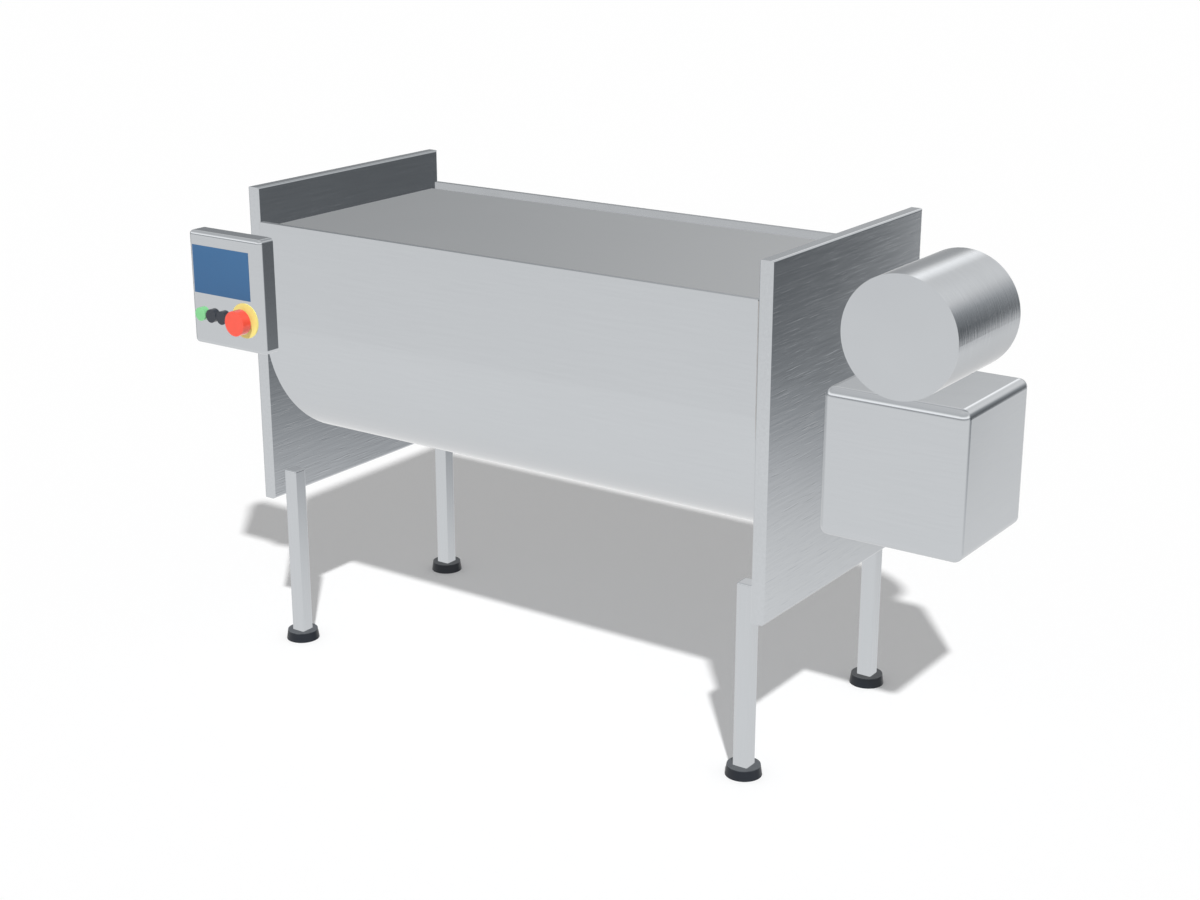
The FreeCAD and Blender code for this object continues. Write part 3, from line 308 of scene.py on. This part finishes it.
def sprayed_paint(name, colour, roughness=0.4, peel=0.00012):
    """Paint with the orange peel of a spray gun, over a casting."""
    finish = Finish(name)
    skin = finish.noise(finish.place(), 220.0)
    casting = finish.noise(finish.place(), 35.0, 3.0, 0.6)
    shade = casting.ramp(0.35, 0.7)
    return finish.set(Base_Color=finish.mixed(shade, tinted(colour, 0.88), colour),
                      Roughness=(casting - 0.5) * 0.2 + roughness,
                      Normal=finish.bump(skin * 0.6 + casting * 0.4, peel))


def foot_coating():
    """Black coated pads with fine grit and a greyer, worn top."""
    finish = Finish("foot_coating")
    height = finish.parts_of(finish.place())[2]
    grit = finish.noise(finish.place(), 600.0, roughness=0.6)
    scuffs = finish.noise(finish.place(), 60.0, 3.0, 0.6)
    foot_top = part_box("leg_front_left")[0].z
    on_top = height.ramp(foot_top - 0.003, foot_top - 0.0005)
    worn = (on_top * 0.6 + scuffs * 0.5).ramp(0.35, 0.95)
    black, worn_grey = (0.008, 0.011, 0.017), (0.095, 0.104, 0.116)
    return finish.set(Base_Color=finish.mixed(worn, black, worn_grey),
                      Roughness=(grit - 0.5) * 0.15 + (scuffs - 0.5) * 0.2 + 0.42,
                      Specular_IOR_Level=0.35,
                      Normal=finish.bump(grit, 0.00006))


def screen_glass():
    """The lit blue panel of the control screen behind a glossy sheet, with faint finger marks."""
    finish = Finish("screen_glass")
    across, _, height = finish.parts_of(finish.place())
    low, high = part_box("display")
    fade = height.ramp(low.z, high.z) * 0.6 + across.ramp(low.x, high.x) * 0.4
    marks = finish.noise(finish.place(), 22.0, 3.0, 0.6)
    deep_blue, blue = (0.028, 0.112, 0.258), (0.036, 0.132, 0.29)
    return finish.set(Base_Color=finish.mixed(fade, deep_blue, blue),
                      Roughness=marks.ramp(0.35, 0.75) * 0.16 + 0.12,
                      Specular_IOR_Level=0.35,
                      Normal=finish.bump(marks, 0.00001))


def weld_metal():
    """Cleaned weld metal: duller and a little straw-coloured beside the ground sheet."""
    finish = Finish("weld_metal")
    heat = finish.noise(finish.place(), 45.0, 3.0, 0.6)
    clean, straw = (0.5, 0.5, 0.5), (0.44, 0.43, 0.41)
    return finish.set(Base_Color=finish.mixed(heat.ramp(0.35, 0.7), clean, straw),
                      Metallic=1.0,
                      Roughness=(heat - 0.5) * 0.2 + 0.36,
                      Normal=finish.bump(heat, 0.0001))


PADDLE_COUNT = 6


def motor_line():
    """X and Z of the motor's axis, which runs along Y."""
    low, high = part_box("motor_jacket")
    return (low.x + high.x) / 2, (low.z + high.z) / 2


def finishes():
    """Each finish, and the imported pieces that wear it."""
    tub = ["tub_jacket", "tub_stiffeners", "lid_ledge"]
    ends = ["left_end_plate", "left_end_pan", "right_end_plate", "right_end_pan"]
    corners = ["front_left", "front_right", "rear_left", "rear_right"]
    legs = ["leg_" + corner for corner in corners] + ["leg_spacers"]
    feet = ["foot_" + corner for corner in corners]
    box = ["drive_cover", "motor_shelf", "motor_saddle", "panel_bracket"]
    panel = ["control_housing", "control_back"]
    blades = [f"paddle_{place}" for place in range(1, PADDLE_COUNT + 1)]
    fittings = ["discharge_spout", "discharge_door", "door_hinge", "vacuum_ferrule",
                "lid_bail_left", "lid_bail_right", "lid_hinge_pins",
                "motor_rotor", "input_pulley"]
    return [
        (ground_steel("tub_steel", "X"), tub),
        (tub_inside_steel(), ["tub_shell"]),
        (end_wall_steel(), ends),
        (ground_steel("lid_sheet_steel", "X", LID_STEEL, 0.3, contrast=0.008),
         ["lid_panel", "lid_liner"]),
        (ground_steel("leg_steel", "Z"), legs),
        (ground_steel("box_steel", "XY"), box),
        (ground_steel("panel_steel", "XY"), panel),
        (ground_steel("blade_steel", "XYZ", tinted(STEEL, 0.9), 0.2, 0.00006, 0.04),
         blades + ["agitator_shaft"]),
        (round_ground_steel("motor_jacket_steel", *motor_line()), ["motor_jacket"]),
        (ground_steel("disc_steel", "XYZ", roughness=0.2, stroke_depth=0.00001),
         ["motor_end_discs"]),
        (turned_steel("turned_steel"), fittings),
        (foot_coating(), feet),
        (rubber("white_seal_rubber", (0.6, 0.6, 0.58)),
         ["lid_gasket", "door_gasket", "shaft_seals"]),
        (rubber("belt_rubber", (0.02, 0.02, 0.02)), ["drive_belt"]),
        (sprayed_paint("bearing_paint", (0.42, 0.44, 0.46)), ["left_bearing"]),
        (sprayed_paint("gear_paint", (0.09, 0.14, 0.2)), ["gearbox", "motor_body"]),
        (screen_glass(), ["display"]),
        (moulded_plastic("green_button_plastic", (0.235, 0.66, 0.29)), ["green_button"]),
        (moulded_plastic("black_button_plastic", (0.02, 0.026, 0.038), 0.25),
         ["black_button_left", "black_button_right"]),
        (moulded_plastic("dark_fitting_plastic", (0.03, 0.03, 0.034), 0.5),
         ["contact_blocks", "cable_glands", "estop_stem"]),
        (moulded_plastic("yellow_collar_plastic", (0.95, 0.86, 0.25)), ["estop_collar"]),
        (moulded_plastic("red_knob_plastic", (0.95, 0.09, 0.05), 0.16), ["estop_head"]),
    ]


def dress_the_frame():
    for material, names in finishes():
        for name in names:
            slots = frame["nodes"][name].data.materials
            slots.clear()
            slots.append(material)


# Pieces that only show: weld beads and small fasteners

def piece(name, mesh, material, body="frame"):
    """A mesh as an object of the machine, on one of its bodies."""
    data = bpy.data.meshes.new(name)
    mesh.normal_update()
    mesh.to_mesh(data)
    mesh.free()
    data.materials.append(material)
    made = bpy.data.objects.new(name, data)
    bpy.context.scene.collection.objects.link(made)
    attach(made, body)
    return made


def tube_along(mesh, path, radii, sides=8, closed=False):
    """A round skin about a path, whose radius may change from point to point."""
    count = len(path)
    rings = []
    side_way = None
    for place, point in enumerate(path):
        after = path[(place + 1) % count] if closed or place < count - 1 else point
        before = path[place - 1] if closed or place else point
        along = (after - before).normalized()
        if side_way is None:
            side_way = along.orthogonal()
        side_way = (side_way - along * side_way.dot(along)).normalized()
        up = along.cross(side_way)
        ring = []
        for step in range(sides):
            turn = 2 * math.pi * step / sides
            offset = side_way * math.cos(turn) + up * math.sin(turn)
            ring.append(mesh.verts.new(point + offset * radii[place]))
        rings.append(ring)
    for place in range(count if closed else count - 1):
        first, second = rings[place], rings[(place + 1) % count]
        for step in range(sides):
            following = (step + 1) % sides
            mesh.faces.new((first[step], first[following], second[following], second[step]))
    if not closed:
        mesh.faces.new(rings[0][::-1])
        mesh.faces.new(rings[-1])
    for face in mesh.faces:
        face.smooth = True


WELD_PITCH = 0.0045
RIM_GAP = 0.003              # from the end of a tub weld up to the jacket's rim
SPACER_WIDTH = 0.016         # of the block that holds a leg off its end wall
FULL_TURN = 2 * math.pi


def along_points(first, second):
    """Points of a weld along a straight run."""
    steps = max(1, round((second - first).length / WELD_PITCH))
    return [first.lerp(second, step / steps) for step in range(steps)] + [second]


def weld(mesh, path, radius, closed=False):
    """A bead with the ripple of a hand weld."""
    radii = [radius * (1 + 0.12 * math.sin(place * 2.1) + 0.05 * math.sin(place * 0.7))
             for place in range(len(path))]
    tube_along(mesh, path, radii, closed=closed)


def circle_points(centre, radius, first_way, second_way, start=0.0, sweep=FULL_TURN):
    """Points of a weld round a circle, or a part of it, in the plane of two directions."""
    steps = max(8, round(radius * sweep / WELD_PITCH))
    count = steps if sweep == FULL_TURN else steps + 1
    return [centre + first_way * (radius * math.cos(start + sweep * step / steps))
            + second_way * (radius * math.sin(start + sweep * step / steps))
            for step in range(count)]


X_WAY, Y_WAY, Z_WAY = Vector((1, 0, 0)), Vector((0, 1, 0)), Vector((0, 0, 1))


def tub_welds(material):
    """The beads that close the tub's skin against both end walls, from rim to rim.

    They lie a little inside the jacket's own outline, so that nothing stands out of it.
    """
    low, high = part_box("tub_jacket")
    bead = 0.0014
    sunk = 1.2 * bead
    half_width = (high.y - low.y) / 2
    radius = half_width - sunk
    middle_y, axis_z = (high.y + low.y) / 2, low.z + half_width
    for side, x in (("left", low.x), ("right", high.x)):
        mesh = bmesh.new()
        centre = Vector((x, middle_y, axis_z))
        arc = circle_points(centre, radius, Y_WAY, Z_WAY, math.pi, math.pi)
        rim_front = Vector((x, middle_y - radius, high.z - RIM_GAP))
        rim_rear = Vector((x, middle_y + radius, high.z - RIM_GAP))
        weld(mesh, along_points(rim_front, arc[0])[:-1] + arc
             + along_points(arc[-1], rim_rear)[1:], bead)
        piece(f"tub_weld_{side}", mesh, material)


def leg_welds(material):
    """Short beads down both sides of the blocks that hold the legs off the end walls."""
    low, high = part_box("leg_spacers")
    bead, setback = 0.0025, 0.003
    for corner in ("front_left", "front_right", "rear_left", "rear_right"):
        leg_low, leg_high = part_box("leg_" + corner)
        right = corner.endswith("right")
        face_x = leg_high.x if right else leg_low.x
        wall_x = high.x if right else low.x
        outer_y, inward = (high.y, -1) if corner.startswith("rear") else (low.y, 1)
        mesh = bmesh.new()
        for x in (face_x, wall_x):
            for y in (outer_y, outer_y + inward * SPACER_WIDTH):
                foot, head = Vector((x, y, low.z + setback)), Vector((x, y, high.z - setback))
                weld(mesh, along_points(foot, head), bead)
        piece(f"leg_weld_{corner}", mesh, material)


def left_end_welds(material):
    """Beads round the discharge spout and the vacuum ferrule, and beside the door's hinge."""
    face_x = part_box("left_end_pan")[0].x
    for name, node, radius, bead in (("spout_weld", "discharge_spout", 0.091, 0.003),
                                     ("ferrule_weld", "vacuum_ferrule", 0.0205, 0.002)):
        low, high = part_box(node)
        mesh = bmesh.new()
        centre = Vector((face_x, (low.y + high.y) / 2, (low.z + high.z) / 2))
        weld(mesh, circle_points(centre, radius, Y_WAY, Z_WAY), bead, closed=True)
        piece(name, mesh, material)
    low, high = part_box("door_hinge")
    hinge_bead = 0.0025
    mesh = bmesh.new()
    for y in (low.y, high.y):
        foot, head = Vector((face_x, y, low.z)), Vector((face_x, y, high.z))
        weld(mesh, along_points(foot, head), hinge_bead)
    piece("door_hinge_weld", mesh, material)


def hex_bolt(mesh, centre, along, across_flats, height, washer, turn=0.0):
    """A bolt's head, a chamfered hexagon, on its round washer. washer is a radius."""
    first = along.orthogonal().normalized()
    second = along.cross(first)

    def ring(radius, rise, sides, offset=0.0):
        verts = []
        for step in range(sides):
            angle = 2 * math.pi * step / sides + offset
            way = first * math.cos(angle) + second * math.sin(angle)
            verts.append(mesh.verts.new(centre + way * radius + along * rise))
        return verts

    def skin(rings):
        for low_ring, high_ring in zip(rings, rings[1:]):
            count = len(low_ring)
            for step in range(count):
                after = (step + 1) % count
                mesh.faces.new((low_ring[step], low_ring[after],
                                high_ring[after], high_ring[step]))
        mesh.faces.new(rings[-1])
        mesh.faces.new(rings[0][::-1])

    thick = washer * 0.12
    sides = 24
    skin([ring(washer, 0, sides), ring(washer, thick * 0.8, sides),
          ring(washer * 0.97, thick, sides)])
    corner = across_flats / math.sqrt(3)
    skin([ring(corner, thick, 6, turn), ring(corner, thick + height * 0.86, 6, turn),
          ring(corner * 0.9, thick + height, 6, turn)])


def bearing_bolts(material):
    """Four bolts that hold the left bearing's flange to the end wall."""
    low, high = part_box("left_bearing")
    flange, bolt_circle = 0.012, 0.058
    across_flats, head, washer = 0.016, 0.0065, 0.012
    centre = Vector((high.x - flange, (low.y + high.y) / 2, (low.z + high.z) / 2))
    mesh = bmesh.new()
    for step in range(4):
        angle = math.radians(45 + 90 * step)
        spot = centre + (Y_WAY * math.cos(angle) + Z_WAY * math.sin(angle)) * bolt_circle
        hex_bolt(mesh, spot, -X_WAY, across_flats, head, washer, angle)
    piece("bearing_bolts", mesh, material)


def back_screws(material):
    """Six screws that hold the control box's back sheet."""
    low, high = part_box("control_back")
    inset = 0.014
    across_flats, head, washer = 0.007, 0.0035, 0.0055
    turn_by_height = 40          # so that no two heads stand alike
    mesh = bmesh.new()
    for x in (low.x + inset, high.x - inset):
        for z in (low.z + inset, (low.z + high.z) / 2, high.z - inset):
            hex_bolt(mesh, Vector((x, high.y, z)), Y_WAY, across_flats, head, washer,
                     z * turn_by_height)
    piece("control_back_screws", mesh, material)


def small_pieces():
    beads = weld_metal()
    bolts = turned_steel("bolt_steel", tinted(STEEL, 1.05), 0.28)
    tub_welds(beads)
    leg_welds(beads)
    left_end_welds(beads)
    bearing_bolts(bolts)
    back_screws(bolts)


# Floor, studio light and camera

SUN_WAY = Vector((-0.58, 0.71, -1.0))
SUN_POWER = 2.9
SUN_WIDTH = math.radians(2.0)
AMBIENT = 0.35
FLOOR_COLOUR = (0.85, 0.85, 0.85)
FLOOR_GLOW = 0.12
FLOOR_HALF_SIZE = 60

# What metal sees of the studio, as (sine of the height over the horizon, level): a pale floor
# all round, and above it a dim side, a pale side behind the machine, and a front side with a
# bright panel over its horizon.
DIM_SIDE = [(-0.40, 1.05), (-0.35, 0.95), (-0.31, 0.62), (-0.27, 0.27), (-0.22, 0.17),
            (-0.05, 0.16), (0.07, 0.25), (0.19, 0.33), (0.30, 0.5), (0.42, 0.85), (0.8, 0.9),
            (1.0, 0.9)]
PALE_SIDE = [(-0.36, 1.05), (-0.2, 0.98), (-0.05, 0.66), (0.06, 0.66), (0.19, 0.66),
             (0.28, 0.8), (0.36, 1.05), (0.45, 1.1), (0.62, 0.6), (0.78, 0.55), (1.0, 0.9)]
FRONT_SIDE = [(-0.36, 1.05), (-0.22, 1.0), (-0.15, 0.98), (-0.08, 0.75), (-0.02, 0.38),
              (0.06, 0.5), (0.14, 1.3), (0.28, 1.6), (0.42, 1.3), (0.6, 0.75), (0.85, 0.8),
              (1.0, 0.9)]
# How far the front and the pale side count, as (degrees round from X towards Y, share).
# The dim side has the rest.
FRONT_SHARE = [(-180, 0.0), (-150, 1.0), (15, 1.0), (40, 0.0)]
PALE_SHARE = [(-180, 0.5), (-150, 0.0), (63.5, 0.0), (65, 0.4), (66, 0.9), (67, 1.0),
              (116, 0.95), (121, 0.7), (127, 0.4), (134, 0.1), (140, 0.1), (155, 0.5)]
# One soft lamp that metal sees: where it stands, how far its light spreads and its level.
LAMP_TURN, LAMP_RISE = math.radians(107), 0.383
LAMP_SPREAD, LAMP_LEVEL = 0.16, 0.8
DIM_TINT = (0.94, 1.0, 1.06)     # of what metal sees where the studio is dim
LEVEL_SCALE = 2.0                # a ramp's stops end at 1, so levels are halved in them
LOWEST_RISE = -0.5               # where the ramps of level begin

LENS, SENSOR_WIDTH = 58.25, 36
CAMERA_PLACE = (2.73035, -3.8978, 2.1753)
CAMERA_TURN = (71.9909, 0.0, 34.8776)


def studio_level(finish):
    """The light that reaches metal from each direction."""
    way = finish.node("ShaderNodeTexCoord", output=0)
    x, y, rise = finish.parts_of(way)
    turn = y.angle_over(x)

    def levels(stops):
        places = [((sine - LOWEST_RISE) / (1 - LOWEST_RISE), level / LEVEL_SCALE)
                  for sine, level in stops]
        return finish.node("ShaderNodeValToRGB", {"stops": places},
                           {"Fac": rise.ramp(LOWEST_RISE, 1.0)}) * LEVEL_SCALE

    def shares(stops):
        places = [((degrees + 180) / 360, share) for degrees, share in stops]
        return finish.node("ShaderNodeValToRGB", {"stops": places},
                           {"Fac": turn.ramp(-math.pi, math.pi)})

    front_share, pale_share = shares(FRONT_SHARE), shares(PALE_SHARE)
    lamp_flat = math.sqrt(1 - LAMP_RISE ** 2)
    lamp_way = (lamp_flat * math.cos(LAMP_TURN), lamp_flat * math.sin(LAMP_TURN), LAMP_RISE)
    away = finish.node("ShaderNodeVectorMath", {"operation": "DISTANCE"},
                       {0: way, 1: lamp_way}, output="Value")
    lamp = (1 - away.ramp(0.0, LAMP_SPREAD)) * LAMP_LEVEL
    dim_share = 1 - front_share - pale_share
    return (levels(DIM_SIDE) * dim_share + levels(PALE_SIDE) * pale_share
            + levels(FRONT_SIDE) * front_share + lamp)


def world():
    """White to the camera, soft panels to metal, and an even dim light to all else."""
    made = bpy.data.worlds.new("studio")
    finish = Finish("studio", made)
    background = finish.tree.nodes["Background"]
    in_metal = finish.node("ShaderNodeLightPath", output="Is Glossy Ray")
    plain = finish.seen() * (1 - AMBIENT) + AMBIENT
    level = studio_level(finish)
    dimness = in_metal * (1 - level.ramp(0.1, 0.9))
    finish.feed(background.inputs["Color"], finish.mixed(dimness, (1.0, 1.0, 1.0), DIM_TINT))
    finish.feed(background.inputs["Strength"], plain * (1 - in_metal) + level * in_metal)
    bpy.context.scene.world = made


def floor():
    """A wide pale floor that stays white round the machine and keeps its shadow."""
    finish = Finish("studio_floor")
    finish.set(Base_Color=FLOOR_COLOUR, Roughness=1.0, Specular_IOR_Level=0.0,
               Emission_Color=finish.seen() * FLOOR_GLOW, Emission_Strength=1.0)
    mesh = bmesh.new()
    bmesh.ops.create_grid(mesh, x_segments=1, y_segments=1, size=FLOOR_HALF_SIZE)
    data = bpy.data.meshes.new("studio_floor")
    mesh.to_mesh(data)
    mesh.free()
    data.materials.append(finish.owner)
    made = bpy.data.objects.new("studio_floor", data)
    bpy.context.scene.collection.objects.link(made)


def plain_reflections():
    """Pieces aren't mirrored in each other: their steel shows the studio alone."""
    for made in bpy.context.scene.objects:
        if made.type == "MESH":
            made.visible_glossy = False


def lamps():
    """The sun that throws the floor's shadow. Metal doesn't mirror it."""
    data = bpy.data.lights.new("key_sun", "SUN")
    data.energy = SUN_POWER
    data.angle = SUN_WIDTH
    sun = bpy.data.objects.new("key_sun", data)
    sun.rotation_euler = SUN_WAY.to_track_quat("-Z", "Y").to_euler()
    sun.visible_glossy = False
    bpy.context.scene.collection.objects.link(sun)


def camera():
    """The photograph's viewpoint, solved from its edges."""
    data = bpy.data.cameras.new("camera")
    data.lens = LENS
    data.sensor_width = SENSOR_WIDTH
    data.sensor_fit = "HORIZONTAL"
    eye = bpy.data.objects.new("camera", data)
    eye.location = CAMERA_PLACE
    eye.rotation_euler = [math.radians(angle) for angle in CAMERA_TURN]
    scene = bpy.context.scene
    scene.collection.objects.link(eye)
    scene.camera = eye
    scene.view_settings.view_transform = "Standard"


camera()
world()
lamps()
floor()
dress_the_frame()
small_pieces()
plain_reflections()
